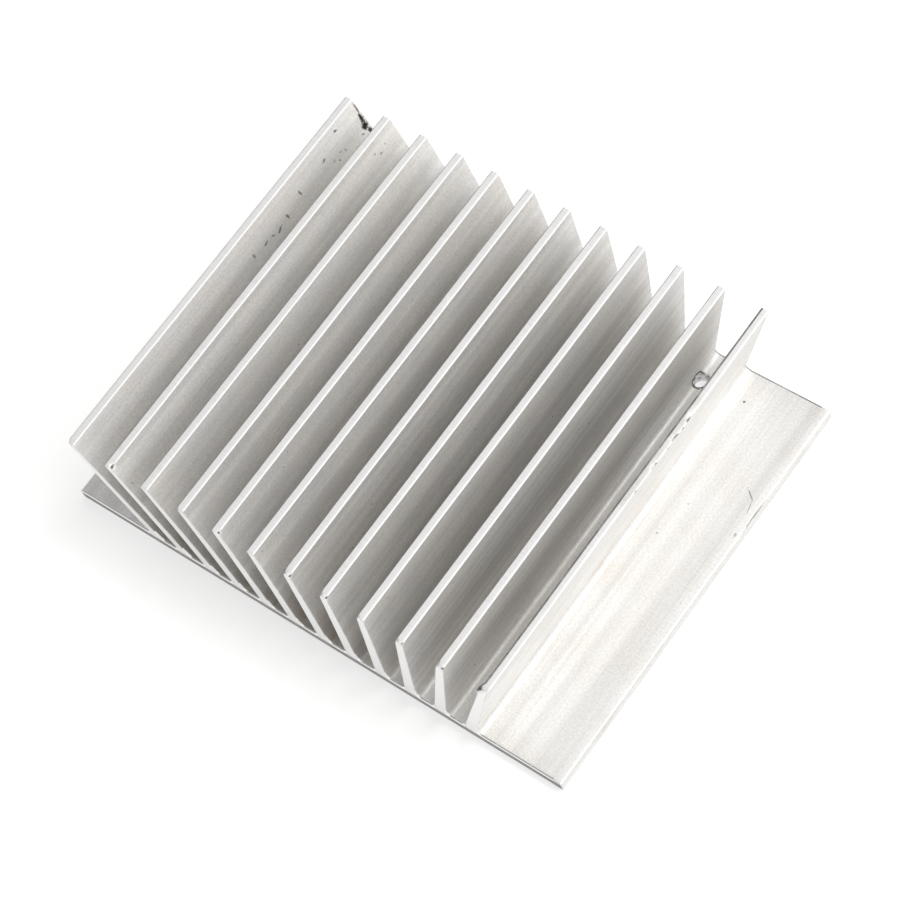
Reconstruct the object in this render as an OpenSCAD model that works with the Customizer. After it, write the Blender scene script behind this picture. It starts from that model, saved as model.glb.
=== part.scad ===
// Extruded aluminium heat sink with a fanned row of cooling fins.
// It is one length of extrusion, sawn square at both ends, with one hole drilled in the base.
// The section lies across X and Z and runs along Y. The base is flat underneath, and a bare
// ledge is left on each side of the fins. The origin is at the middle of the underside.

/* [Extrusion] */
// Length of the sawn piece, along the fins
sink_l = 100; // [60:1:300]
// Width of the base plate, across the fins
base_w = 134.5; // [110:0.5:200]
// Thickness of the base plate
base_t = 3; // [2.4:0.1:6]
// Height from the underside to the fin tips
sink_h = 36; // [20:0.1:45]
// Radius on the long edges of the base plate
base_edge_r = 0.4; // [0.2:0.1:0.8]

/* [Fins] */
// Number of fins
fin_count = 12; // [2:1:12]
// Distance between neighbouring fins where they leave the base
fin_pitch = 7.95; // [6.6:0.05:9.8]
// Thickness of a fin where it leaves the base
fin_root_t = 3.2; // [2.2:0.1:3.8]
// Thickness of a fin at its tip
fin_tip_t = 1.9; // [1.2:0.1:2.4]
// Angle that each fin leans past the one before it
lean_step = 3; // [1.5:0.1:3.6]
// Extra lean of the two outermost fins, which fades towards the middle
lean_extra = 3.5; // [0:0.1:5]
// Radius in the corners between the fins and the base
root_r = 1.2; // [0.6:0.1:1.5]
// Radius on the corners of the fin tips
tip_r = 0.25; // [0.1:0.05:0.5]

/* [Drilled hole] */
// Channel that the hole is drilled in, counted from the left
hole_channel = 11; // [1:1:11]
// Diameter of the hole
hole_d = 3.3; // [2:0.1:4.5]
// Distance from the far end to the middle of the hole
hole_end = 7.8; // [4:0.1:30]
// Distance from the foot of the fin beside it to the middle of the hole
hole_side = 1.3; // [0.5:0.1:2.5]
// Height above the channel floor that the full width of the drill reaches
drill_reach = 1; // [0.2:0.1:3]
// Angle of the drill's point
drill_point = 118; // [90:1:140]

/* [Hidden] */
// Arcs and bores are true circles at this count
$fn = 64;
// Depth that shapes which are joined run into each other
join = 0.3;
// Depth that an arc sinks past the face it blends into, so that the two cross cleanly
arc_bite = 0.002;
// Height of a fin above the base plate
fin_h = sink_h - base_t;
// Place of the middle of the row, counted in fins
mid_fin = (fin_count + 1) / 2;
// Steps from the middle of the row to the outermost fin
end_steps = (fin_count - 1) / 2;

// Lean of fin i from upright, positive towards +X
function lean(i) = lean_step * (i - mid_fin) + lean_extra * pow((i - mid_fin) / end_steps, 3);

// Middle of fin i where it leaves the base, and at its tip
function root_x(i) = fin_pitch * (i - mid_fin);
function tip_x(i) = root_x(i) + fin_h * tan(lean(i));

// The face of fin i on one side, -1 for left and 1 for right, at a height above the underside
function face_x(i, side, z) =
    let (up = (z - base_t) / fin_h, half_t = (fin_root_t + (fin_tip_t - fin_root_t) * up) / 2)
    root_x(i) + (tip_x(i) - root_x(i)) * up + side * half_t;

// Unit vector that points straight out of that face
function face_normal(i, side) =
    let (run = face_x(i, side, sink_h) - face_x(i, side, base_t), len = norm([run, fin_h]))
    side * [fin_h, -run] / len;

// The point at height z that lies a given distance out from that face, or in from it if negative
function beside_face(i, side, z, gap) =
    let (n = face_normal(i, side))
    [face_x(i, side, z - n[1] * gap) + n[0] * gap, z];

// Base plate with its long edges rounded
module base_section() {
    translate([0, base_t / 2]) {
        square([base_w - 2 * base_edge_r, base_t], center = true);
        square([base_w, base_t - 2 * base_edge_r], center = true);
        for (x = [-1, 1], z = [-1, 1])
            translate([x * (base_w / 2 - base_edge_r), z * (base_t / 2 - base_edge_r)])
                circle(r = base_edge_r);
    }
}

// One tapered fin, with its foot run into the base and its tip corners rounded
module fin_section(i) {
    foot_z = base_t - join;
    reach = tip_r - arc_bite;
    left = beside_face(i, -1, sink_h - tip_r, -reach);
    right = beside_face(i, 1, sink_h - tip_r, -reach);
    polygon([
        [face_x(i, -1, foot_z), foot_z],
        [face_x(i, 1, foot_z), foot_z],
        right + face_normal(i, 1) * reach,
        right + [0, tip_r],
        left + [0, tip_r],
        left + face_normal(i, -1) * reach
    ]);
    for (centre = [left, right])
        translate(centre)
            circle(r = tip_r);
}

// The hollow corner between one face of a fin and the base
module root_section(i, side) {
    centre = beside_face(i, side, base_t + root_r, root_r - arc_bite);
    corner = [
        centre,
        centre - [0, root_r + join],
        [face_x(i, side, base_t) - side * join, base_t - join],
        centre - face_normal(i, side) * (root_r + join)
    ];
    difference() {
        // Taken in this order, the points run anticlockwise on both sides
        polygon([for (k = [0 : 3]) corner[side < 0 ? k : 3 - k]]);
        translate(centre)
            circle(r = root_r);
    }
}

// The whole section of the extrusion
module sink_section() {
    base_section();
    for (i = [1 : fin_count]) {
        fin_section(i);
        root_section(i, -1);
        root_section(i, 1);
    }
}

// The hole, drilled from below, which just catches the foot of the fin beside it
module drilled_hole() {
    translate([face_x(hole_channel, 1, base_t) + hole_side, sink_l / 2 - hole_end, 0]) {
        translate([0, 0, -join])
            cylinder(d = hole_d, h = join + base_t + drill_reach);
        translate([0, 0, base_t + drill_reach])
            cylinder(d1 = hole_d, d2 = 0, h = hole_d / 2 / tan(drill_point / 2));
    }
}

module heat_sink() {
    color("gainsboro")
        difference() {
            rotate([90, 0, 0])
                linear_extrude(height = sink_l, center = true)
                    sink_section();
            drilled_hole();
        }
}

heat_sink();
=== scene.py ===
"""Extruded heat sink with a fanned row of fins: its finished surfaces, a pale floor and soft light.

The sink is one length of extrusion, sawn at both ends and drilled once from below. It is drawn
again here with the wear that a used one carries, and stands in the place of the CAD solid.
The settings hold metres and radians, as Blender does. The section is worked out from them in
millimetres and degrees, and what it makes is in metres again.
"""
import math
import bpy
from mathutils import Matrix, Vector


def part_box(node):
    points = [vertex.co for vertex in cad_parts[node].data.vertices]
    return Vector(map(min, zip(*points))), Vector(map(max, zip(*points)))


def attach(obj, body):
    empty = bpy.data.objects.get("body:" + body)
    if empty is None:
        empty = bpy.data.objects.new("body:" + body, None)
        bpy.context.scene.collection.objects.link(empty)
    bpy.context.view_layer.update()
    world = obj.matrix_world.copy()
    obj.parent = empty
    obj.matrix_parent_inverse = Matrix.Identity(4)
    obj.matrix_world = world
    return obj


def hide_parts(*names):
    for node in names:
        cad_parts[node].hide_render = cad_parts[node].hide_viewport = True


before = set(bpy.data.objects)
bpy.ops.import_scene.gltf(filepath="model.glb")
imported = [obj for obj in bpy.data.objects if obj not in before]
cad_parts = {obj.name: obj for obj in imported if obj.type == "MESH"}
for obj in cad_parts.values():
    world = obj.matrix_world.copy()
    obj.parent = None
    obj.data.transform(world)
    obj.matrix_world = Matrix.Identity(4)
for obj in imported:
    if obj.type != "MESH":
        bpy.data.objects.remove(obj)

from types import SimpleNamespace

import bmesh
import bpy
from bpy.props import FloatProperty, FloatVectorProperty, IntProperty, PointerProperty
from mathutils import Euler, Vector, geometry, noise

bl_info = {
    "name": "Fanned Fin Heat Sink",
    "version": (1, 0, 0),
    "blender": (4, 5, 0),
    "location": "View3D > Sidebar > Heat Sink",
    "description": "Builds an extruded, sawn and drilled heat sink and the table it stands on",
    "category": "Object",
}

MM = 0.001
CAD_LOW, CAD_HIGH = (tuple(corner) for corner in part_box("heat_sink"))
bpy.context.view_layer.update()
CAD_LENGTH, CAD_WIDTH, CAD_HEIGHT = (CAD_HIGH[axis] - CAD_LOW[axis] for axis in (1, 0, 2))
# How a length and an angle are shown in the sidebar
AS_LENGTH = {"unit": "LENGTH", "precision": 5}
AS_ANGLE = {"subtype": "ANGLE", "unit": "ROTATION"}


def linear(code):
    """Turns a colour written as six hex digits of sRGB into the linear values a shader takes."""
    levels = [int(code[k : k + 2], 16) / 255 for k in (1, 3, 5)]
    return [v / 12.92 if v <= 0.04045 else ((v + 0.055) / 1.055) ** 2.4 for v in levels]


# ---------------------------------------------------------------- sizes and colours


class ExtrusionSizes(bpy.types.PropertyGroup):
    """Sizes of the extruded section and of the hole drilled in it"""

    length: FloatProperty(
        name="Length",
        description="Sawn length, along the fins",
        default=CAD_LENGTH,
        min=60 * MM,
        **AS_LENGTH,
    )
    base_w: FloatProperty(
        name="Base width",
        description="Width of the base plate",
        default=CAD_WIDTH,
        min=100 * MM,
        **AS_LENGTH,
    )
    base_t: FloatProperty(
        name="Base thickness",
        description="Thickness of the base plate",
        default=3.0 * MM,
        min=2 * MM,
        **AS_LENGTH,
    )
    height: FloatProperty(
        name="Height",
        description="Underside to fin tips",
        default=CAD_HEIGHT,
        min=20 * MM,
        **AS_LENGTH,
    )
    edge_r: FloatProperty(
        name="Base edge radius",
        description="Radius on the long edges",
        default=0.4 * MM,
        min=0.1 * MM,
        **AS_LENGTH,
    )
    fin_count: IntProperty(name="Fins", description="Number of fins", default=12, min=2, max=12)
    fin_pitch: FloatProperty(
        name="Fin pitch",
        description="Distance between fins at the base",
        default=7.95 * MM,
        **AS_LENGTH,
    )
    fin_root_t: FloatProperty(
        name="Fin root", description="Fin thickness at the base", default=3.2 * MM, **AS_LENGTH
    )
    fin_tip_t: FloatProperty(
        name="Fin tip", description="Fin thickness at the tip", default=1.9 * MM, **AS_LENGTH
    )
    lean_step: FloatProperty(
        name="Lean step",
        description="How far each fin leans past the last",
        default=math.radians(3.0),
        **AS_ANGLE,
    )
    lean_extra: FloatProperty(
        name="End lean",
        description="Further lean of the outermost fins",
        default=math.radians(3.5),
        **AS_ANGLE,
    )
    root_r: FloatProperty(
        name="Root radius",
        description="Radius between a fin and the base",
        default=1.2 * MM,
        **AS_LENGTH,
    )
    tip_r: FloatProperty(
        name="Tip radius",
        description="Radius on the corners of a tip",
        default=0.25 * MM,
        **AS_LENGTH,
    )
    hole_d: FloatProperty(
        name="Hole", description="Diameter of the drilled hole", default=3.3 * MM, **AS_LENGTH
    )
    hole_end: FloatProperty(
        name="Hole from end",
        description="Far end to the hole's middle",
        default=7.8 * MM,
        **AS_LENGTH,
    )
    hole_side: FloatProperty(
        name="Hole from fin",
        description="Fin foot to the hole's middle",
        default=1.3 * MM,
        **AS_LENGTH,
    )


class WearSizes(bpy.types.PropertyGroup):
    """How far the surfaces have come from the die's true shape"""

    file_run: FloatProperty(
        name="Filed run",
        description="How far filing reaches in from a sawn end",
        default=0.6 * MM,
        **AS_LENGTH,
    )
    file_drop: FloatProperty(
        name="Filed drop",
        description="How much filing takes off a sawn edge",
        default=0.3 * MM,
        **AS_LENGTH,
    )
    wave: FloatProperty(
        name="Fin wave",
        description="How far a fin wanders along its length",
        default=0.05 * MM,
        **AS_LENGTH,
    )
    burr: FloatProperty(
        name="Drill burr",
        description="Height of the burr the drill raised",
        default=0.35 * MM,
        **AS_LENGTH,
    )


class FinishColours(bpy.types.PropertyGroup):
    """Colours of the metal and of the table"""

    metal: FloatVectorProperty(
        name="Aluminium",
        description="Bare extruded aluminium",
        default=linear("#F1F0EE"),
        subtype="COLOR",
    )
    sawn: FloatVectorProperty(
        name="Sawn aluminium",
        description="Freshly cut aluminium",
        default=linear("#F3F2F1"),
        subtype="COLOR",
    )
    grime: FloatVectorProperty(
        name="Grime",
        description="Old dirt in scuffs and nicks",
        default=linear("#3A3836"),
        subtype="COLOR",
    )
    # Painted shade: the grey of a thin darker line along the fins' left tip corners and the far end's
    # filed edges
    dull: FloatVectorProperty(
        name="Edge shade",
        description="Painted shade along an edge",
        default=linear("#94918D"),
        subtype="COLOR",
    )
    table: FloatVectorProperty(
        name="Table",
        description="Pale table top",
        default=linear("#B6B6B5"),
        subtype="COLOR",
    )


def plain_sizes(group):
    """The sizes in a property group as plain numbers, in millimetres and degrees."""
    plain = SimpleNamespace()
    for name in type(group).__annotations__:
        value, unit = getattr(group, name), group.bl_rna.properties[name].unit
        if unit == "LENGTH":
            value = round(value / MM, 4)
        elif unit == "ROTATION":
            value = round(math.degrees(value), 4)
        setattr(plain, name, value)
    return plain


# ---------------------------------------------------------------- the section


def lean(s, i):
    """Lean of fin i from upright, in radians, positive towards +X."""
    from_middle = i - (s.fin_count + 1) / 2
    outermost = (s.fin_count - 1) / 2
    return math.radians(s.lean_step * from_middle + s.lean_extra * (from_middle / outermost) ** 3)


def face_x(s, i, side, z):
    """Where the left (-1) or right (1) face of fin i is at height z. Side 0 is its middle."""
    root = s.fin_pitch * (i - (s.fin_count + 1) / 2)
    fin_h = s.height - s.base_t
    up = (z - s.base_t) / fin_h
    half = (s.fin_root_t + (s.fin_tip_t - s.fin_root_t) * up) / 2
    return root + fin_h * math.tan(lean(s, i)) * up + side * half


def face_normal(s, i, side):
    """Unit vector that points straight out of that face, in the section."""
    run = face_x(s, i, side, s.height) - face_x(s, i, side, s.base_t)
    fin_h = s.height - s.base_t
    return Vector((fin_h, -run)) * (side / math.hypot(fin_h, run))


def beside_face(s, i, side, z, gap):
    """The point at height z that lies gap out from that face."""
    n = face_normal(s, i, side)
    return Vector((face_x(s, i, side, z - n[1] * gap) + n[0] * gap, z))


def arc(centre, radius, start, end, count):
    """Points on an arc about centre, from direction start to direction end."""
    a, b = (math.atan2(v[1], v[0]) for v in (start, end))
    turn = (b - a + math.pi) % math.tau - math.pi
    return [
        centre + radius * Vector((math.cos(a + turn * k / count), math.sin(a + turn * k / count)))
        for k in range(count + 1)
    ]


def between(p, q, splits):
    """The points that split the way from p to q into equal parts, without p and q."""
    return [p.lerp(q, k / splits) for k in range(1, splits)]


# Heights on a fin face, as distances below the tip: close together where tips get knocked.
# None lies nearer than FACE_GAP to the radius at the fin's foot.
FACE_STEPS = (0.55, 0.95, 1.5, 2.3, 3.4, 5, 7, 9.5, 12.5, 16, 19.5, 23, 26.5, 29.5)
FACE_GAP = 0.4
# Into how many parts each radius and each flat is split
ROOT_SPLITS, CORNER_SPLITS, EDGE_SPLITS = 6, 3, 4
TIP_SPLITS, FLOOR_SPLITS, LEDGE_SPLITS, UNDER_SPLITS = 5, 3, 12, 36


def fin_outline(s, i):
    """Outline of fin i from its right foot over the tip to its left foot, as (point, kind, fin)."""
    down, up = Vector((0, -1)), Vector((0, 1))
    points = []
    for side in (1, -1):
        n = face_normal(s, i, side)
        root = beside_face(s, i, side, s.base_t + s.root_r, s.root_r)
        corner = beside_face(s, i, side, s.height - s.tip_r, -s.tip_r)
        foot = arc(root, s.root_r, down, -n, ROOT_SPLITS)
        heights = [s.height - step for step in reversed(FACE_STEPS)]
        lowest = foot[-1][1] + FACE_GAP
        face = [Vector((face_x(s, i, side, z), z)) for z in heights if z > lowest]
        head = arc(corner, s.tip_r, n, up, CORNER_SPLITS)
        run = [(p, "root", i) for p in foot] + [(p, "face", i) for p in face]
        # The left tip corner is marked for painted shade
        run += [(p, "tip" if side > 0 else "dull tip", i) for p in head]
        points.append(run)
    right, left = points
    top = [(p, "tip", i) for p in between(right[-1][0], left[-1][0], TIP_SPLITS)]
    # The painted shade line on the left tip corner is widest on the last fin
    if i == s.fin_count:
        top[-1] = (top[-1][0], "dull tip", i)
    return right + top + left[::-1]


def section_outline(s):
    """The whole section as one closed outline, anticlockwise from the underside's left corner."""
    w, t, r = s.base_w / 2, s.base_t, s.edge_r
    left, right, down, up = (Vector(v) for v in ((-1, 0), (1, 0), (0, -1), (0, 1)))
    fins = [fin_outline(s, i) for i in range(s.fin_count, 0, -1)]

    def stretch(kind, points):
        return [(p, kind, 0) for p in points]

    outline = stretch("edge", arc(Vector((-w + r, r)), r, left, down, EDGE_SPLITS))
    outline += stretch("under", between(Vector((-w + r, 0)), Vector((w - r, 0)), UNDER_SPLITS))
    outline += stretch("edge", arc(Vector((w - r, r)), r, down, right, EDGE_SPLITS))
    outline += stretch("edge", arc(Vector((w - r, t - r)), r, right, up, EDGE_SPLITS))
    outline += stretch("ledge", between(Vector((w - r, t)), fins[0][0][0], LEDGE_SPLITS))
    for k, fin in enumerate(fins):
        outline += fin
        if k + 1 < len(fins):
            outline += stretch("floor", between(fin[-1][0], fins[k + 1][0][0], FLOOR_SPLITS))
    outline += stretch("ledge", between(fins[-1][-1][0], Vector((-w + r, t)), LEDGE_SPLITS))
    outline += stretch("edge", arc(Vector((-w + r, t - r)), r, up, left, EDGE_SPLITS))
    return outline


def outward(points):
    """Unit vectors that point out of the outline at each of its points."""
    found = []
    for k, p in enumerate(points):
        a, b = points[k - 1], points[(k + 1) % len(points)]
        d1, d2 = (p - a).normalized(), (b - p).normalized()
        d = (d1 + d2).normalized()
        found.append(Vector((d[1], -d[0])))
    return found


# ---------------------------------------------------------------- wear

# Knocks on the fins: fin, side of it, distance from the far end, distance below the tip, reach
# of the knock, and how far it pushes the metal along X, Y and Z
KNOCKS = (
    (12, -1, 99.3, 0.2, 1.9, (-0.7, 0.0, -0.3)),
    (12, 1, 99.9, 0.2, 1.2, (-0.15, 0.35, -0.3)),
    (11, -1, 99.8, 0.3, 1.3, (0.3, 0.3, -0.25)),
    (11, 1, 99.9, 0.2, 0.7, (-0.15, 0.15, -0.2)),
    (10, -1, 100.0, 0.1, 0.9, (0.25, 0.4, -0.35)),
    (10, 1, 99.9, 0.3, 0.8, (-0.2, 0.2, -0.25)),
    (9, -1, 100.0, 0.1, 0.9, (0.3, 0.35, -0.3)),
    (8, -1, 99.8, 0.2, 1.0, (0.35, 0.3, -0.2)),
    (8, 1, 99.8, 0.4, 0.9, (-0.2, 0.25, -0.25)),
    (7, -1, 99.7, 0.1, 1.1, (0.1, 0.15, -0.3)),
    (7, 1, 99.8, 0.3, 0.9, (-0.2, 0.2, -0.25)),
    (5, 1, 99.9, 0.3, 0.9, (-0.2, 0.25, -0.25)),
    (4, -1, 100.0, 0.2, 0.8, (0.2, 0.2, -0.2)),
    (2, 1, 99.3, 0.3, 1.0, (-0.3, 0.1, -0.3)),
    (1, -1, 99.9, 0.2, 1.0, (0.2, 0.3, -0.25)),
    (1, 1, 2.0, 6.5, 2.6, (-0.12, 0.0, 0.0)),
    (6, 1, 31.0, 0.2, 0.8, (-0.1, 0.0, -0.15)),
    (8, 1, 64.0, 0.2, 0.8, (-0.12, 0.0, -0.12)),
    (10, 1, 22.0, 0.2, 0.8, (-0.1, 0.0, -0.15)),
    (12, 1, 28.0, 0.3, 1.3, (-0.25, 0.0, -0.2)),
    (12, 1, 34.5, 0.6, 1.6, (-0.3, 0.0, -0.15)),
    (12, 1, 41.5, 0.3, 1.2, (-0.25, 0.0, -0.2)),
)
# Material slots of the sink
EXTRUDED, SAWN, DRILLED, SCUFFED, RUBBED, FILED, EDGE_SHADE, TORN = range(8)
# Distances in from a sawn end at which the surface is cut across, closest at the edge, then the
# even step between the ends, extra cuts about each knock, and the least gap between two cuts
END_STEPS = (0, 0.07, 0.16, 0.28, 0.42, 0.6, 0.85, 1.2, 1.7, 2.4, 3.3, 4.5, 6)
LONG_STEP = 2.2
KNOCK_STEPS = (-0.7, -0.35, 0, 0.35, 0.7)
LEAST_STEP = 0.055
# How hard the file bore on a sawn edge, and how deep filing can reach at all. It passed over the
# base plate in long strokes and barely touched the fins.
FILE_TOUCH = {"under": 1, "ledge": 1, "floor": 1, "root": 1, "edge": 0.6}
FILE_TOUCH_ON_FIN = 0.35
DEEPEST_FILING = 1.0
# How much of the filed run shines at the near end, and how much of it takes painted shade at the far end
SHINING_SHARE, SHADED_SHARE = 0.75, 0.6
# How far a fin's tip rises and falls along its length
TIP_RIPPLE = 0.02


def knock_point(s, fin, side, from_far, below_tip):
    """Where a knock lands."""
    z = s.height - below_tip
    return Vector((face_x(s, fin, side, z), s.length / 2 - from_far, z))


def cross_cuts(s):
    """Distances along Y at which the extrusion's surface is cut across."""
    half = s.length / 2
    cuts = {round(sign * (half - step), 3) for step in END_STEPS for sign in (-1, 1)}
    span = s.length - 2 * END_STEPS[-1]
    count = round(span / LONG_STEP)
    cuts |= {round(-span / 2 + span * k / count, 3) for k in range(count + 1)}
    for from_far in (knock[2] for knock in KNOCKS):
        if END_STEPS[-1] < from_far < s.length - END_STEPS[-1]:
            cuts |= {round(half - from_far + step, 3) for step in KNOCK_STEPS}
    kept = []
    for y in sorted(cuts):
        if not kept or y - kept[-1] > LEAST_STEP:
            kept.append(y)
    return kept


def filed(wear, depth, at, kind):
    """How much the file took off the outline at this depth from a sawn end."""
    wander = 1 + 0.35 * noise.noise(Vector((at[0] * 0.23, at[1] * 0.23, 3.1)))
    touch = FILE_TOUCH.get(kind, FILE_TOUCH_ON_FIN)
    share = min(1, depth / (wear.file_run * wander * touch))
    return wear.file_drop * touch * wander * (1 - math.sqrt(max(0, 1 - (1 - share) ** 2)))


def worn(s, wear, p, kind, fin):
    """A surface point moved off its true place by the die, the stretcher and handling."""
    moved = p.copy()
    if kind in ("face", "tip", "dull tip"):
        up = (p[2] - s.base_t) / (s.height - s.base_t)
        wander = noise.noise(Vector((fin * 7.3, p[1] / 34, 1.7)))
        moved[0] += wear.wave * up * up * wander * 2
        moved[2] += TIP_RIPPLE * up * noise.noise(Vector((fin * 3.9, p[1] / 9, 8.2)))
    return moved


def knocked(p, knocks):
    """A surface point moved by the knocks that reach it."""
    moved = p.copy()
    for centre, reach, push in knocks:
        gap = (p - centre).length / reach
        if gap < 1:
            moved += push * (1 - gap * gap) ** 2
    return moved


# ---------------------------------------------------------------- meshes


def extrusion_mesh(s, wear):
    """The sawn length of extrusion, with filed ends, wandering fins and knocked tips."""
    outline = section_outline(s)
    flat = [point for point, kind, fin in outline]
    out = outward(flat)
    knocks = [
        (knock_point(s, fin, side, far, below), reach, Vector(push))
        for fin, side, far, below, reach, push in KNOCKS
    ]
    half = s.length / 2
    rings = []
    cuts = cross_cuts(s)
    work = bmesh.new()
    for y in cuts:
        depth = half - abs(y)
        ring = []
        for (point, kind, fin), n in zip(outline, out):
            take = filed(wear, depth, point, kind) if depth < DEEPEST_FILING else 0
            at = point - n * take
            p = worn(s, wear, Vector((at[0], y, at[1])), kind, fin)
            ring.append(work.verts.new(knocked(p, knocks) * MM))
        rings.append(ring)
    for row, (a, b) in enumerate(zip(rings, rings[1:])):
        y = (cuts[row] + cuts[row + 1]) / 2
        for k in range(len(a)):
            m = (k + 1) % len(a)
            face = work.faces.new((a[k], a[m], b[m], b[k]))
            face.material_index = surface_slot(s, wear, outline[k][1], outline[m][1], y)
    for ring in (rings[0], rings[-1]):
        cap_end(work, ring)
    bmesh.ops.recalc_face_normals(work, faces=work.faces)
    mesh = bpy.data.meshes.new("heat_sink_worn")
    work.to_mesh(mesh)
    work.free()
    return mesh


def surface_slot(s, wear, kind, next_kind, y):
    """Which finish a strip of the surface has: extruded, rubbed, filed near an end, or painted edge
    shade.
    """
    near = y < 0
    filed_depth = wear.file_run * (SHINING_SHARE if near else SHADED_SHARE)
    # Painted shade lies along the left tip corners and the far end's filed edges
    if kind == next_kind == "dull tip":
        return EDGE_SHADE
    if kind == "tip":
        return RUBBED
    if kind in ("ledge", "floor", "root") and s.length / 2 - abs(y) < filed_depth:
        return FILED if near else EDGE_SHADE
    return EXTRUDED


def cap_end(work, ring):
    """Closes a sawn end with triangles that follow the section."""
    flat = [Vector((v.co[0], v.co[2])) / MM for v in ring]
    loop = list(range(len(flat)))
    edges = [(k, (k + 1) % len(flat)) for k in loop]
    _, _, faces, origin, _, _ = geometry.delaunay_2d_cdt(flat, edges, [loop], 1, 1e-6)
    for face in faces:
        corners = [ring[origin[k][0]] for k in face]
        work.faces.new(corners).material_index = SAWN


def ring_mesh(name, rows, closed=False):
    """A surface through rows of points that each run round a closed loop."""
    work = bmesh.new()
    made = [[work.verts.new(p * MM) for p in row] for row in rows]
    pairs = list(zip(made, made[1:])) + ([(made[-1], made[0])] if closed else [])
    for a, b in pairs:
        for k in range(len(a)):
            m = (k + 1) % len(a)
            work.faces.new((a[k], a[m], b[m], b[k]))
    if not closed:
        work.faces.new(made[0])
        work.faces.new(made[-1])
    bmesh.ops.recalc_face_normals(work, faces=work.faces)
    mesh = bpy.data.meshes.new(name)
    work.to_mesh(mesh)
    work.free()
    return mesh


def circle(centre, radius, z, count, wobble=0.0, seed=0.0):
    """Points round a level circle whose radius may wander by the share given."""
    points = []
    for k in range(count):
        a = math.tau * k / count
        c, d = math.cos(a), math.sin(a)
        r = radius * (1 + wobble * noise.noise(Vector((c * 2.1, d * 2.1, seed))))
        points.append(Vector((centre[0] + r * c, centre[1] + r * d, z)))
    return points


HOLE_CHANNEL = 11
HOLE_FACETS = 64
# Width of the broken edge round the hole's lower end, how far the drill's full width went past
# the channel floor, and the number of rows that the bore is drawn in
BROKEN_EDGE, DRILL_PAST, BORE_ROWS = 0.35, 0.7, 9


def hole_centre(s):
    """Middle of the drilled hole, in X and Y."""
    return face_x(s, HOLE_CHANNEL, 1, s.base_t) + s.hole_side, s.length / 2 - s.hole_end


def drill_mesh(s):
    """What the drill takes away: a wandering bore with a broken lower edge and a point."""
    at, r = hole_centre(s), s.hole_d / 2
    low, high = 0.3, s.base_t + DRILL_PAST
    rows = [circle(at, r + BROKEN_EDGE, -low, HOLE_FACETS), circle(at, r + 0.05, 0.02, HOLE_FACETS)]
    for k in range(BORE_ROWS):
        z = low + k * (high - low) / (BORE_ROWS - 1)
        rows.append(circle(at, r, z, HOLE_FACETS, 0.03, z * 3))
    # The point, a blunt cone
    rows.append(circle(at, r * 0.5, high + r * 0.3, HOLE_FACETS))
    rows.append(circle(at, r * 0.05, high + r * 0.57, HOLE_FACETS))
    return ring_mesh("drill", rows)


def burr_mesh(s, wear):
    """The ragged lip that the drill pushed up round the hole, sunk into the channel floor."""
    at, r = hole_centre(s), s.hole_d / 2
    inner, crest, outer, skirt = [], [], [], []
    for k in range(HOLE_FACETS * 2):
        a = math.tau * k / (HOLE_FACETS * 2)
        c, d = math.cos(a), math.sin(a)
        rough = noise.noise(Vector((c * 1.6, d * 1.6, 4.4)))
        ragged = noise.noise(Vector((c * 7.0, d * 7.0, 2.0)))
        tall = max(0.06, wear.burr * (0.55 + 0.6 * rough + 0.55 * ragged))
        for row, radius, z in (
            (inner, r, s.base_t - 0.12),
            (crest, r + 0.08 + 0.1 * ragged, s.base_t + tall),
            (outer, r + 0.28 + 0.12 * rough, s.base_t + tall * 0.45),
            (skirt, r + 0.62 + 0.18 * rough, s.base_t - 0.05),
        ):
            row.append(Vector((at[0] + radius * c, at[1] + radius * d, z)))
    return ring_mesh("burr", [inner, crest, outer, skirt], closed=True)


def new_object(name, mesh):
    """An object for this mesh, in the scene."""
    made = bpy.data.objects.new(name, mesh)
    bpy.context.scene.collection.objects.link(made)
    return made


def drill_through(sink, s, slot):
    """Takes the drill's shape out of the sink. The bore's wall takes the given material slot."""
    drill = new_object("drill", drill_mesh(s))
    for face in drill.data.polygons:
        face.material_index = slot
    for material in sink.data.materials:
        drill.data.materials.append(material)
    cut = sink.modifiers.new("Drill", "BOOLEAN")
    cut.operation, cut.solver, cut.object = "DIFFERENCE", "EXACT", drill
    graph = bpy.context.evaluated_depsgraph_get()
    result = bpy.data.meshes.new_from_object(sink.evaluated_get(graph))
    sink.modifiers.clear()
    sink.data = result
    bpy.data.objects.remove(drill)


def join_mesh(sink, extra, slot):
    """Adds a mesh to the sink's own, with all its faces in one material slot."""
    work = bmesh.new()
    work.from_mesh(sink.data)
    before = len(work.faces)
    work.from_mesh(extra)
    work.faces.ensure_lookup_table()
    for face in work.faces[before:]:
        face.material_index = slot
    work.to_mesh(sink.data)
    work.free()


# ---------------------------------------------------------------- finishes


def add_node(tree, kind, settings=None, **inputs):
    """Adds a node, sets what it has to set, and links or fills its inputs. A name such as
    i0 is the first input, and any other is an input's own name with _ for a space."""
    made = tree.nodes.new(kind)
    for key, value in (settings or {}).items():
        setattr(made, key, value)
    for key, value in inputs.items():
        index = key[1:]
        socket = made.inputs[int(index)] if index.isdigit() else made.inputs[key.replace("_", " ")]
        if isinstance(value, bpy.types.NodeSocket):
            tree.links.new(value, socket)
        else:
            socket.default_value = value
    return made


def new_material(name):
    """An empty material, its node tree and the place on the object that it shades."""
    material = bpy.data.materials.new(name)
    material.use_nodes = True
    tree = material.node_tree
    tree.nodes.clear()
    return material, tree, add_node(tree, "ShaderNodeTexCoord").outputs["Object"]


def stretched(tree, place, pitch_mm, along_mm):
    """Coordinates at which one unit is pitch_mm across the section and along_mm down the fins."""
    across, along = 1 / (pitch_mm * MM), 1 / (along_mm * MM)
    return add_node(tree, "ShaderNodeMapping", Vector=place, Scale=(across, along, across)).outputs[0]


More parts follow.
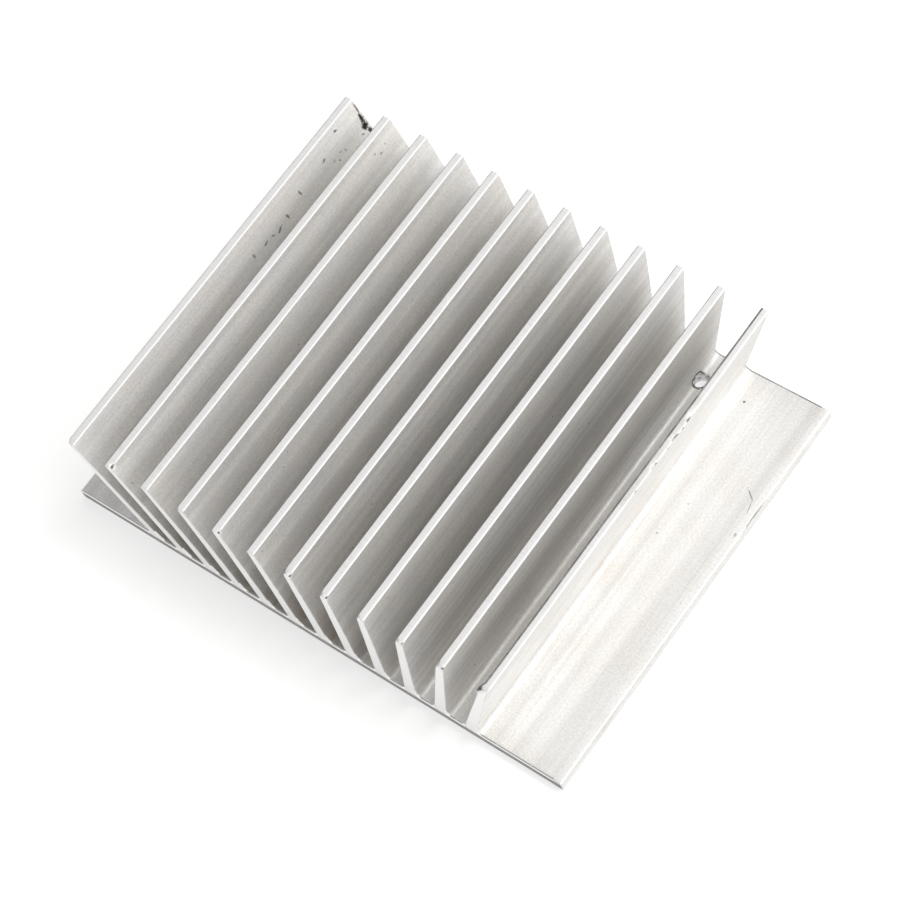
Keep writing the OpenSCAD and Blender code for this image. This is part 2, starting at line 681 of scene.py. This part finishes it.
# Scuffs and dirt: fin and side (fin 0 is the base), distance from the far end, distance below
# the tip (or in from the right edge), half length along the fin, half height, turn in degrees
# from the fin's run, and how dark it is
MARKS = (
    (1, 1, 0.5, 2.6, 0.25, 1.9, -4, 0.75),
    (1, 1, 0.9, 5.0, 0.6, 1.9, -8, 0.95),
    (1, 1, 1.3, 6.9, 1.0, 1.2, 0, 1.0),
    (1, 1, 0.9, 8.6, 0.6, 0.8, 20, 0.9),
    (1, 1, 2.9, 7.9, 0.5, 0.25, -25, 0.6),
    (1, 1, 8.6, 6.9, 0.25, 0.5, 20, 0.4),
    (1, 1, 9.9, 6.2, 0.4, 0.25, -20, 0.35),
    (1, 1, 11.2, 7.4, 0.3, 0.5, 35, 0.4),
    (1, 1, 12.3, 6.5, 0.5, 0.25, 10, 0.35),
    (2, 1, 4.4, 3.4, 0.3, 0.3, 0, 0.35),
    (1, 1, 7.8, 1.8, 0.5, 0.35, 0, 0.75),
    (1, 1, 14.3, 4.3, 0.7, 0.3, 30, 0.7),
    (1, 1, 23.5, 4.7, 0.35, 0.8, 10, 0.65),
    (1, 1, 29.2, 6.0, 0.35, 0.8, 15, 0.75),
    (1, 1, 32.6, 6.6, 1.1, 0.3, 25, 0.75),
    (1, 1, 34.6, 6.2, 0.6, 0.25, -30, 0.6),
    (1, 1, 37.2, 6.0, 0.9, 0.3, 15, 0.65),
    (1, 1, 41.2, 5.6, 0.4, 0.7, 0, 0.6),
    (2, 1, 6.5, 4.2, 0.4, 0.3, 0, 0.6),
    (2, 1, 8.0, 3.0, 0.3, 0.3, 0, 0.45),
    (9, 1, 92.3, 3.3, 0.25, 0.25, 0, 0.45),
    (5, 1, 79.5, 4.0, 0.25, 0.25, 0, 0.4),
    (11, 1, 52.9, 9.9, 0.3, 0.3, 0, 0.4),
    (10, 1, 39.3, 9.0, 0.3, 0.3, 0, 0.4),
    (11, 1, 89.5, 25.4, 0.3, 0.5, 0, 0.6),
    (12, 1, 28.6, 0.15, 1.6, 0.25, 0, 0.8),
    (12, 1, 31.4, 0.3, 0.5, 0.25, 0, 0.7),
    (12, 1, 34.0, 0.15, 1.5, 0.25, 0, 0.75),
    (12, 1, 36.6, 0.3, 0.6, 0.25, 0, 0.6),
    (12, 1, 41.3, 0.2, 1.0, 0.22, 0, 0.7),
    (12, 1, 48.0, 0.3, 0.9, 0.25, 0, 0.4),
    (0, 0, 7.4, 17.3, 0.35, 0.35, 0, 0.75),
    (0, 0, 42.8, 15.7, 0.3, 0.3, 0, 0.35),
    (0, 0, 62.9, 21.8, 0.3, 0.3, 0, 0.35),
    (0, 0, 34.8, 1.1, 0.8, 0.3, 0, 0.4),
    (0, 0, 25.3, 3.6, 1.8, 0.16, 52, 0.6),
    (0, 0, 27.6, 2.2, 2.6, 0.12, 15, 0.4),
    (0, 0, 29.0, 0.15, 5.0, 0.16, 0, 0.55),
)


def mark_frame(s, fin, side, from_far, below):
    """Middle of a mark, in metres, and the turn that lays its X along the surface."""
    y = s.length / 2 - from_far
    if fin == 0:
        return Vector((s.base_w / 2 - below, y, s.base_t)) * MM, 0.0
    z = s.height - below
    slope = face_normal(s, fin, side)
    return Vector((face_x(s, fin, side, z), y, z)) * MM, math.atan2(slope[0], slope[1])


# A knock this near the near end tore the corner of its fin, and this is how far the tear shows
CORNER_DEPTH, TEAR_REACH = 1.0, 0.5
# How far a mark's ragged edge can stray, as a share of its size and beyond that
MARK_STRAY, MARK_MARGIN = 1.6, 1.2
# The broken ring of painted shade about the hole: where it fades out and where it is whole, outside the
# rim, and how far beyond that a face still takes the scuffed finish
RING_OUTER, RING_INNER, RING_MARGIN = 1.2, 0.85, 0.3


def tear_corners(sink, s, slot):
    """Gives the faces at the knocked near corners of the fins the torn finish."""
    torn = [
        knock_point(s, *knock[:4]) * MM for knock in KNOCKS if knock[2] > s.length - CORNER_DEPTH
    ]
    for face in sink.data.polygons:
        if min((face.center - corner).length for corner in torn) < TEAR_REACH * MM:
            face.material_index = slot


def scuff_faces(sink, s, slot):
    """Gives the faces that a scuff reaches the scuffed finish."""
    found = [
        (mark_frame(s, *mark[:4])[0], (max(mark[4:6]) * MARK_STRAY + MARK_MARGIN) * MM, mark[0])
        for mark in MARKS
    ]
    ring = s.hole_d / 2 + RING_OUTER + RING_MARGIN
    found.append((Vector((*hole_centre(s), s.base_t)) * MM, ring * MM, 0))
    for face in sink.data.polygons:
        if face.material_index not in (EXTRUDED, RUBBED):
            continue
        reach = max((face.center - sink.data.vertices[k].co).length for k in face.vertices)
        for middle, size, fin in found:
            if face.material_index == RUBBED and fin != s.fin_count:
                continue
            if (face.center - middle).length < size + reach:
                face.material_index = slot
                break


def marks_mask(tree, place, s):
    """A mask that is 1 on the scuffs and dirt listed above, 0.85 on a ring of painted shade about the
    hole, and 0 elsewhere, broken up by grain.
    """
    jitter = add_node(
        tree, "ShaderNodeTexNoise", i0=place, Scale=1 / (0.6 * MM), Detail=3.0, Roughness=0.7
    ).outputs["Fac"]
    spread = add_node(tree, "ShaderNodeMath", {"operation": "MULTIPLY_ADD"}, i0=jitter, i1=1.8, i2=-0.9)
    # Painted shade lies in a broken dark ring about the drilled hole
    x, y = hole_centre(s)
    from_hole = add_node(
        tree, "ShaderNodeMapping", Vector=place, Location=(-x * MM, -y * MM, -s.base_t * MM)
    ).outputs[0]
    reach = add_node(tree, "ShaderNodeVectorMath", {"operation": "LENGTH"}, i0=from_hole).outputs["Value"]
    ragged = add_node(
        tree, "ShaderNodeMath", {"operation": "MULTIPLY_ADD"}, i0=jitter, i1=1.2 * MM, i2=reach
    ).outputs[0]
    total = add_node(
        tree,
        "ShaderNodeMapRange",
        {"interpolation_type": "SMOOTHSTEP"},
        Value=ragged,
        From_Min=(s.hole_d / 2 + RING_OUTER) * MM,
        From_Max=(s.hole_d / 2 + RING_INNER) * MM,
        To_Min=0.0,
        To_Max=0.85,
    ).outputs[0]
    for fin, side, far, below, along, up, turn, dark in MARKS:
        middle, tilt = mark_frame(s, fin, side, far, below)
        lay = Euler((0, tilt, 0)).to_matrix() @ Euler((0, 0, math.radians(turn))).to_matrix()
        local = add_node(
            tree,
            "ShaderNodeMapping",
            {"vector_type": "TEXTURE"},
            Vector=place,
            Location=middle,
            Rotation=lay.to_euler(),
            Scale=(up * MM, along * MM, 0.5 * MM),
        )
        size = add_node(tree, "ShaderNodeVectorMath", {"operation": "LENGTH"}, i0=local.outputs[0])
        rough = add_node(
            tree, "ShaderNodeMath", {"operation": "ADD"}, i0=size.outputs["Value"], i1=spread.outputs[0]
        )
        spot = add_node(
            tree,
            "ShaderNodeMapRange",
            {"interpolation_type": "SMOOTHSTEP"},
            Value=rough.outputs[0],
            From_Min=1.1,
            From_Max=0.55,
            To_Min=0.0,
            To_Max=dark,
        ).outputs[0]
        total = add_node(tree, "ShaderNodeMath", {"operation": "MAXIMUM"}, i0=total, i1=spot).outputs[0]
    return total


def extruded_aluminium(s, colours, scuffed=False):
    """Aluminium as it leaves the die, with no polish or coat: a satin grey-white metal whose
    fine die lines run down the fins, clouded by handling and flecked with old dirt. Scuffed, it
    also carries the marks listed above, and only the faces that they touch are given that one."""
    name = "scuffed" if scuffed else "extruded"
    material, tree, place = new_material(f"{name} mill-finish aluminium")
    # Die lines are a few hundredths of a millimetre apart. They are drawn at 0.45 mm to show.
    die_lines = stretched(tree, place, 0.45, 90)
    lines = add_node(
        tree, "ShaderNodeTexNoise", i0=die_lines, Scale=1.0, Detail=3.0, Roughness=0.65
    ).outputs["Fac"]
    # Bands a few millimetres wide, where the die dragged more or less
    die_bands = stretched(tree, place, 2.6, 160)
    bands = add_node(
        tree, "ShaderNodeTexNoise", i0=die_bands, Scale=1.0, Detail=2.0, Roughness=0.5
    ).outputs["Fac"]
    # Clouding from fingers and storage, about 14 mm across
    clouds = add_node(
        tree, "ShaderNodeTexNoise", i0=place, Scale=1 / (14 * MM), Detail=4.0, Roughness=0.6
    ).outputs["Fac"]
    # The pitted grain of an etched surface, drawn at 0.5 mm to show
    grain = add_node(
        tree, "ShaderNodeTexNoise", i0=place, Scale=1 / (0.5 * MM), Detail=2.0, Roughness=0.6
    ).outputs["Fac"]
    shade = 1.0
    for pattern, darkest, palest in ((bands, 0.88, 1.04), (lines, 0.955, 1.03), (grain, 0.89, 1.06)):
        tone = add_node(
            tree,
            "ShaderNodeMapRange",
            Value=pattern,
            From_Min=0.3,
            From_Max=0.7,
            To_Min=darkest,
            To_Max=palest,
        ).outputs[0]
        shade = add_node(tree, "ShaderNodeMath", {"operation": "MULTIPLY"}, i0=shade, i1=tone).outputs[0]
    tinted = add_node(
        tree, "ShaderNodeMixRGB", {"blend_type": "MULTIPLY"}, i0=1.0, i1=(*colours.metal, 1), i2=shade
    ).outputs[0]
    # A breath of warmth where the clouding lies
    warm = add_node(
        tree, "ShaderNodeMapRange", Value=clouds, From_Min=0.42, From_Max=0.68, To_Min=0.0, To_Max=0.5
    ).outputs[0]
    warmed = (*linear("#F6F1EC"), 1)
    clouded = add_node(
        tree, "ShaderNodeMixRGB", {"blend_type": "MULTIPLY"}, i0=warm, i1=tinted, i2=warmed
    ).outputs[0]
    # Painted shade darkens the channels' near mouths, most of all low down and on the left
    parts = add_node(tree, "ShaderNodeSeparateXYZ", i0=place).outputs
    mouth_shade = 1.0
    for axis, none_at, all_at in (("X", 34, 6), ("X", -48, -42), ("Y", -36, -49), ("Z", 19, 8)):
        share = add_node(
            tree, "ShaderNodeMapRange", Value=parts[axis], From_Min=none_at * MM, From_Max=all_at * MM
        ).outputs[0]
        mouth_shade = add_node(
            tree, "ShaderNodeMath", {"operation": "MULTIPLY"}, i0=mouth_shade, i1=share
        ).outputs[0]
    shade_tint = (*linear("#DCD8D4"), 1)
    clouded = add_node(
        tree, "ShaderNodeMixRGB", {"blend_type": "MULTIPLY"}, i0=mouth_shade, i1=clouded, i2=shade_tint
    ).outputs[0]
    # Flecks of old dirt, up to half a millimetre across, one to each 7 mm of the metal's depth
    cells = add_node(
        tree, "ShaderNodeTexVoronoi", {"feature": "F1"}, i0=place, Scale=1 / (7 * MM), Randomness=1.0
    ).outputs["Distance"]
    dirt = add_node(
        tree, "ShaderNodeMapRange", Value=cells, From_Min=0.045, From_Max=0.02, To_Min=0.0, To_Max=0.45
    ).outputs[0]
    if scuffed:
        marks = marks_mask(tree, place, s)
        dirt = add_node(tree, "ShaderNodeMath", {"operation": "MAXIMUM"}, i0=dirt, i1=marks).outputs[0]
    colour = add_node(
        tree, "ShaderNodeMixRGB", {"blend_type": "MIX"}, i0=dirt, i1=clouded, i2=(*colours.grime, 1)
    ).outputs[0]
    rough = add_node(
        tree, "ShaderNodeMapRange", Value=clouds, From_Min=0.3, From_Max=0.7, To_Min=0.54, To_Max=0.66
    ).outputs[0]
    rough = add_node(
        tree, "ShaderNodeMath", {"operation": "MULTIPLY_ADD"}, i0=dirt, i1=0.35, i2=rough
    ).outputs[0]
    height = add_node(
        tree, "ShaderNodeMath", {"operation": "MULTIPLY_ADD"}, i0=grain, i1=0.35, i2=lines
    ).outputs[0]
    bump = add_node(tree, "ShaderNodeBump", Strength=0.35, Distance=0.05 * MM, Height=height)
    metal = add_node(
        tree,
        "ShaderNodeBsdfPrincipled",
        Base_Color=colour,
        Metallic=0.7,
        Roughness=rough,
        Normal=bump.outputs[0],
    )
    add_node(tree, "ShaderNodeOutputMaterial", Surface=metal.outputs[0])
    return material


# Middle of the saw's blade, in millimetres: off to the left of the section and below it
SAW_HUB = (-55, 0, -115)


def sawn_aluminium(colours):
    """Aluminium cut by a circular saw: brighter than the rest, with shallow curved tooth marks
    across it that scatter the light."""
    material, tree, place = new_material("circular-sawn aluminium")
    # Tooth marks are arcs about the middle of the blade
    spun = add_node(
        tree, "ShaderNodeMapping", Vector=place, Location=Vector(SAW_HUB) * -MM, Scale=(1, 0, 1)
    ).outputs[0]
    from_hub = add_node(tree, "ShaderNodeVectorMath", {"operation": "LENGTH"}, i0=spun).outputs["Value"]
    # Teeth leave marks about 0.2 mm apart. They are drawn at 0.6 mm to show.
    teeth = add_node(
        tree,
        "ShaderNodeTexNoise",
        {"noise_dimensions": "1D"},
        W=from_hub,
        Scale=1 / (0.6 * MM),
        Detail=3.0,
    ).outputs["Fac"]
    grain = add_node(
        tree, "ShaderNodeTexNoise", i0=place, Scale=1 / (0.4 * MM), Detail=3.0, Roughness=0.7
    ).outputs["Fac"]
    shade = add_node(
        tree, "ShaderNodeMapRange", Value=teeth, From_Min=0.3, From_Max=0.7, To_Min=0.86, To_Max=1.03
    ).outputs[0]
    colour = add_node(
        tree, "ShaderNodeMixRGB", {"blend_type": "MULTIPLY"}, i0=1.0, i1=(*colours.sawn, 1), i2=shade
    ).outputs[0]
    # Painted shade darkens the lowest 3 mm, the end of the base plate, as the shadowed table close in
    # front of it would
    rise = add_node(tree, "ShaderNodeSeparateXYZ", i0=place).outputs["Z"]
    low = add_node(
        tree, "ShaderNodeMapRange", Value=rise, From_Min=3.3 * MM, From_Max=2.2 * MM
    ).outputs[0]
    shade_tint = (*linear("#75726F"), 1)
    colour = add_node(
        tree, "ShaderNodeMixRGB", {"blend_type": "MULTIPLY"}, i0=low, i1=colour, i2=shade_tint
    ).outputs[0]
    rough = add_node(
        tree, "ShaderNodeMapRange", Value=grain, From_Min=0.3, From_Max=0.7, To_Min=0.26, To_Max=0.38
    ).outputs[0]
    height = add_node(
        tree, "ShaderNodeMath", {"operation": "MULTIPLY_ADD"}, i0=grain, i1=0.5, i2=teeth
    ).outputs[0]
    bump = add_node(tree, "ShaderNodeBump", Strength=0.5, Distance=0.06 * MM, Height=height)
    metal = add_node(
        tree,
        "ShaderNodeBsdfPrincipled",
        Base_Color=colour,
        Metallic=1.0,
        Roughness=rough,
        Normal=bump.outputs[0],
    )
    add_node(tree, "ShaderNodeOutputMaterial", Surface=metal.outputs[0])
    return material


def rubbed_aluminium(colours):
    """Aluminium rubbed pale by handling on the fin tips: whiter and flatter than the die left
    it, with short scores across."""
    material, tree, place = new_material("rubbed aluminium")
    # Scores run across the tips, about 0.2 mm apart and drawn at 0.3 mm to show
    across, along = 1 / (6 * MM), 1 / (0.3 * MM)
    scores = add_node(
        tree, "ShaderNodeMapping", Vector=place, Scale=(across, along, along)
    ).outputs[0]
    scored = add_node(tree, "ShaderNodeTexNoise", i0=scores, Scale=1.0, Detail=3.0).outputs["Fac"]
    shade = add_node(
        tree, "ShaderNodeMapRange", Value=scored, From_Min=0.3, From_Max=0.7, To_Min=0.93, To_Max=1.02
    ).outputs[0]
    colour = add_node(
        tree, "ShaderNodeMixRGB", {"blend_type": "MULTIPLY"}, i0=1.0, i1=(*colours.sawn, 1), i2=shade
    ).outputs[0]
    bump = add_node(tree, "ShaderNodeBump", Strength=0.4, Distance=0.04 * MM, Height=scored)
    metal = add_node(
        tree,
        "ShaderNodeBsdfPrincipled",
        Base_Color=colour,
        Metallic=0.5,
        Roughness=0.6,
        Normal=bump.outputs[0],
    )
    add_node(tree, "ShaderNodeOutputMaterial", Surface=metal.outputs[0])
    return material


def filed_aluminium(colours):
    """Aluminium bevelled by a fine file along a sawn edge: a narrow bright band, as smooth as a
    mirror that has been breathed on."""
    material, tree, place = new_material("filed aluminium")
    # Each stroke of the file left its own polish, 1.5 mm or so wide
    strokes = add_node(
        tree, "ShaderNodeTexNoise", i0=place, Scale=1 / (1.5 * MM), Detail=3.0
    ).outputs["Fac"]
    rough = add_node(
        tree, "ShaderNodeMapRange", Value=strokes, From_Min=0.3, From_Max=0.7, To_Min=0.16, To_Max=0.3
    ).outputs[0]
    metal = add_node(
        tree,
        "ShaderNodeBsdfPrincipled",
        Base_Color=(*colours.sawn, 1),
        Metallic=1.0,
        Roughness=rough,
    )
    add_node(tree, "ShaderNodeOutputMaterial", Surface=metal.outputs[0])
    return material


def edge_shaded_aluminium(colours):
    """Aluminium along an edge, with painted shade on it: a thin grey line, broken into patches."""
    material, tree, place = new_material("edge-shaded aluminium")
    # The painted shade comes and goes along the edge every 5 mm or so
    patches = add_node(
        tree, "ShaderNodeTexNoise", i0=place, Scale=1 / (5 * MM), Detail=5.0, Roughness=0.7
    ).outputs["Fac"]
    cover = add_node(
        tree, "ShaderNodeMapRange", Value=patches, From_Min=0.3, From_Max=0.55, To_Min=0.55, To_Max=1.0
    ).outputs[0]
    colour = add_node(
        tree, "ShaderNodeMixRGB", i0=cover, i1=(*colours.metal, 1), i2=(*colours.dull, 1)
    ).outputs[0]
    metal = add_node(
        tree, "ShaderNodeBsdfPrincipled", Base_Color=colour, Metallic=1.0, Roughness=0.55
    )
    add_node(tree, "ShaderNodeOutputMaterial", Surface=metal.outputs[0])
    return material


def drilled_aluminium(colours):
    """Aluminium cut by a drill: bright, rough rings down the bore, with specks of swarf caught
    in them."""
    material, tree, place = new_material("drilled aluminium")
    # The drill's feed leaves rings about 0.15 mm apart, drawn at 0.35 mm to show
    round_bore, down_bore = 0.3 / MM, 1 / (0.35 * MM)
    rings = add_node(
        tree, "ShaderNodeMapping", Vector=place, Scale=(round_bore, round_bore, down_bore)
    ).outputs[0]
    feed = add_node(tree, "ShaderNodeTexNoise", i0=rings, Scale=1.0, Detail=2.0).outputs["Fac"]
    torn = add_node(
        tree, "ShaderNodeTexNoise", i0=place, Scale=1 / (0.9 * MM), Detail=4.0, Roughness=0.75
    ).outputs["Fac"]
    swarf = add_node(
        tree, "ShaderNodeMapRange", Value=torn, From_Min=0.52, From_Max=0.6, To_Min=0.0, To_Max=0.85
    ).outputs[0]
    colour = add_node(
        tree, "ShaderNodeMixRGB", i0=swarf, i1=(*colours.sawn, 1), i2=(*colours.grime, 1)
    ).outputs[0]
    height = add_node(tree, "ShaderNodeMath", {"operation": "ADD"}, i0=feed, i1=torn).outputs[0]
    bump = add_node(tree, "ShaderNodeBump", Strength=0.8, Distance=0.12 * MM, Height=height)
    metal = add_node(
        tree,
        "ShaderNodeBsdfPrincipled",
        Base_Color=colour,
        Metallic=0.55,
        Roughness=0.4,
        Normal=bump.outputs[0],
    )
    add_node(tree, "ShaderNodeOutputMaterial", Surface=metal.outputs[0])
    return material


def torn_aluminium(colours):
    """Aluminium torn up by the drill or by a knock: ragged, with dark oil and grime in its
    folds."""
    material, tree, place = new_material("torn aluminium")
    folds = add_node(
        tree, "ShaderNodeTexNoise", i0=place, Scale=1 / (0.7 * MM), Detail=4.0, Roughness=0.75
    ).outputs["Fac"]
    oil = add_node(
        tree, "ShaderNodeMapRange", Value=folds, From_Min=0.36, From_Max=0.56, To_Min=0.15, To_Max=0.95
    ).outputs[0]
    colour = add_node(
        tree, "ShaderNodeMixRGB", i0=oil, i1=(*colours.sawn, 1), i2=(*colours.grime, 1)
    ).outputs[0]
    bump = add_node(tree, "ShaderNodeBump", Strength=0.8, Distance=0.1 * MM, Height=folds)
    metal = add_node(
        tree,
        "ShaderNodeBsdfPrincipled",
        Base_Color=colour,
        Metallic=1.0,
        Roughness=0.35,
        Normal=bump.outputs[0],
    )
    add_node(tree, "ShaderNodeOutputMaterial", Surface=metal.outputs[0])
    return material


def seen_or_mirrored(tree):
    """1 where the camera or a mirroring surface looks, and 0 where light is gathered."""
    path = add_node(tree, "ShaderNodeLightPath").outputs
    seen, mirrored = path["Is Camera Ray"], path["Is Glossy Ray"]
    return add_node(
        tree, "ShaderNodeMath", {"operation": "MAXIMUM"}, i0=seen, i1=mirrored
    ).outputs[0]


# How far the card under the sink is lifted towards white
CARD_LIFT = 0.65


def table_top(colours):
    """A table of smooth card: flat white, with the sink's soft shadow on it. It is seen paler
    than the lamps alone would make it, as a card lit from all round is."""
    material, tree, place = new_material("white card table")
    # Fibres of the card, drawn at 1.5 mm to show
    fibre = add_node(
        tree, "ShaderNodeTexNoise", i0=place, Scale=1 / (1.5 * MM), Detail=3.0
    ).outputs["Fac"]
    bump = add_node(tree, "ShaderNodeBump", Strength=0.05, Distance=0.05 * MM, Height=fibre)
    card = add_node(
        tree, "ShaderNodeBsdfDiffuse", Color=(*colours.table, 1), Normal=bump.outputs[0]
    )
    # Further out than the lamps reach, from 0.3 to 1.3 m away, it is lifted all the way to white
    away = add_node(tree, "ShaderNodeVectorMath", {"operation": "LENGTH"}, i0=place).outputs["Value"]
    level = add_node(
        tree, "ShaderNodeMapRange", Value=away, From_Min=0.3, From_Max=1.3, To_Min=CARD_LIFT, To_Max=1.0
    ).outputs[0]
    seen = seen_or_mirrored(tree)
    lift = add_node(tree, "ShaderNodeMath", {"operation": "MULTIPLY"}, i0=seen, i1=level)
    glow = add_node(tree, "ShaderNodeEmission", Color=(1, 1, 1, 1), Strength=lift.outputs[0])
    both = add_node(tree, "ShaderNodeAddShader", i0=card.outputs[0], i1=glow.outputs[0])
    add_node(tree, "ShaderNodeOutputMaterial", Surface=both.outputs[0])
    return material


# ---------------------------------------------------------------- operators

# Edges that turn more than this many degrees stay sharp, and a sink with fewer faces than this
# was spoilt by the drilling
SHARP_ANGLE, FEWEST_FACES = 38, 10000


class HEATSINK_OT_extrusion(bpy.types.Operator):
    """Builds the sawn, drilled and worn extrusion in the place of the CAD solid"""

    bl_idname = "heatsink.extrusion"
    bl_label = "Heat sink"

    def execute(self, context):
        scene = context.scene
        s, wear = plain_sizes(scene.heatsink_sizes), plain_sizes(scene.heatsink_wear)
        colours = scene.heatsink_colours
        sink = new_object("heat_sink_extrusion", extrusion_mesh(s, wear))
        finishes = (
            extruded_aluminium(s, colours),
            sawn_aluminium(colours),
            drilled_aluminium(colours),
            extruded_aluminium(s, colours, scuffed=True),
            rubbed_aluminium(colours),
            filed_aluminium(colours),
            edge_shaded_aluminium(colours),
            torn_aluminium(colours),
        )
        for finish in finishes:
            sink.data.materials.append(finish)
        drill_through(sink, s, DRILLED)
        join_mesh(sink, burr_mesh(s, wear), TORN)
        scuff_faces(sink, s, SCUFFED)
        tear_corners(sink, s, TORN)
        sink.data.shade_smooth()
        sink.data.set_sharp_from_angle(angle=math.radians(SHARP_ANGLE))
        if len(sink.data.polygons) < FEWEST_FACES:
            raise RuntimeError("the drilled extrusion lost its surface")
        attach(sink, "root")
        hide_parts("heat_sink")
        return {"FINISHED"}


# Where the camera stands, in millimetres, how it is turned, in degrees, and its lens and film
CAMERA_AT = (292.19, -176.37, 568.55)
CAMERA_TURN = (28.622, 12.732, 36.746)
CAMERA_LENS, CAMERA_FILM = 121.21, 36.0
# Brightness of the room's light at the near and at the far side, and of its ceiling as a
# mirror sees it, where 1 is white
NEAR_LIGHT, FAR_LIGHT, CEILING = 0.15, 0.75, 0.38
# The soft lamps: where each hangs, in metres, how wide it is and its watts. Both point at the sink.
SOFTBOXES = {
    "right_softbox": ((0.93, 0.28, 1.08), 0.9, 11.0),
    "overhead_softbox": ((0.45, 0.45, 1.35), 0.4, 5.0),
}
LAMP_AIM = (0, 0, 0.02)
# Half the table's width, in metres, and how far below the sink's flat underside its top lies,
# so that the two never share a plane
TABLE_REACH, TABLE_DROP = 3.0, 0.0002


def lay_table(colours):
    """A table top that runs well past the edge of view."""
    work = bmesh.new()
    bmesh.ops.create_grid(work, x_segments=8, y_segments=8, size=TABLE_REACH)
    mesh = bpy.data.meshes.new("table")
    work.to_mesh(mesh)
    work.free()
    table = new_object("table", mesh)
    table.location = (0, 0, -TABLE_DROP)
    mesh.materials.append(table_top(colours))


def light_room(scene):
    """A bright room: a white sweep stands all round and fades, a third of the way up, to a
    dimmer ceiling. The far side gives more light than the near one."""
    scene.world = bpy.data.worlds.new("studio")
    scene.world.use_nodes = True
    tree = scene.world.node_tree
    tree.nodes.clear()
    toward = add_node(tree, "ShaderNodeTexCoord").outputs["Generated"]
    parts = add_node(tree, "ShaderNodeSeparateXYZ", i0=toward).outputs
    room = add_node(
        tree,
        "ShaderNodeMapRange",
        Value=parts["Y"],
        From_Min=-0.8,
        From_Max=0.8,
        To_Min=NEAR_LIGHT,
        To_Max=FAR_LIGHT,
    ).outputs[0]
    sweep = add_node(
        tree,
        "ShaderNodeMapRange",
        {"interpolation_type": "SMOOTHSTEP"},
        Value=parts["Z"],
        From_Min=0.35,
        From_Max=0.75,
        To_Min=1.0,
        To_Max=CEILING,
    ).outputs[0]
    level = add_node(
        tree, "ShaderNodeMapRange", Value=seen_or_mirrored(tree), To_Min=room, To_Max=sweep
    )
    sky = add_node(tree, "ShaderNodeBackground", Color=(1, 1, 1, 1), Strength=level.outputs[0])
    add_node(tree, "ShaderNodeOutputWorld", Surface=sky.outputs[0])


def hang_softbox(name, at, size, watts):
    """A soft square lamp that points at the sink."""
    light = bpy.data.lights.new(name, "AREA")
    light.shape, light.size, light.energy = "SQUARE", size, watts
    lamp = new_object(name, light)
    lamp.location = at
    lamp.rotation_euler = (Vector(LAMP_AIM) - lamp.location).to_track_quat("-Z", "Y").to_euler()


def stand_camera(scene):
    """The camera, high up and to the right of the near end."""
    camera = bpy.data.cameras.new("camera")
    camera.lens, camera.sensor_width = CAMERA_LENS, CAMERA_FILM
    camera.clip_start, camera.clip_end = 0.01, 20.0
    stand = new_object("camera", camera)
    stand.location = Vector(CAMERA_AT) * MM
    stand.rotation_euler = [math.radians(v) for v in CAMERA_TURN]
    scene.camera = stand


class HEATSINK_OT_stage(bpy.types.Operator):
    """Lays the pale table, hangs the soft lamps and sets the camera"""

    bl_idname = "heatsink.stage"
    bl_label = "Table, lamps and camera"

    def execute(self, context):
        scene = context.scene
        lay_table(scene.heatsink_colours)
        light_room(scene)
        for name, (at, size, watts) in SOFTBOXES.items():
            hang_softbox(name, at, size, watts)
        stand_camera(scene)
        scene.view_settings.view_transform = "Standard"
        return {"FINISHED"}


class HEATSINK_PT_sidebar(bpy.types.Panel):
    """Lists what can be built and the sizes and colours it takes"""

    bl_idname = "HEATSINK_PT_sidebar"
    bl_label = "Heat Sink"
    bl_space_type = "VIEW_3D"
    bl_region_type = "UI"
    bl_category = "Heat Sink"

    def draw(self, context):
        layout = self.layout
        for operator in (HEATSINK_OT_extrusion, HEATSINK_OT_stage):
            layout.operator(operator.bl_idname)
        for group in ("heatsink_sizes", "heatsink_wear", "heatsink_colours"):
            values = getattr(context.scene, group)
            column = layout.column()
            for name in type(values).__annotations__:
                column.prop(values, name)


CLASSES = (
    ExtrusionSizes,
    WearSizes,
    FinishColours,
    HEATSINK_OT_extrusion,
    HEATSINK_OT_stage,
    HEATSINK_PT_sidebar,
)


def register():
    for cls in CLASSES:
        bpy.utils.register_class(cls)
    bpy.types.Scene.heatsink_sizes = PointerProperty(type=ExtrusionSizes)
    bpy.types.Scene.heatsink_wear = PointerProperty(type=WearSizes)
    bpy.types.Scene.heatsink_colours = PointerProperty(type=FinishColours)


def unregister():
    for name in ("heatsink_colours", "heatsink_wear", "heatsink_sizes"):
        delattr(bpy.types.Scene, name)
    for cls in reversed(CLASSES):
        bpy.utils.unregister_class(cls)


def main():
    """Builds everything in order."""
    register()
    bpy.ops.heatsink.extrusion()
    bpy.ops.heatsink.stage()


if __name__ == "__main__":
    main()
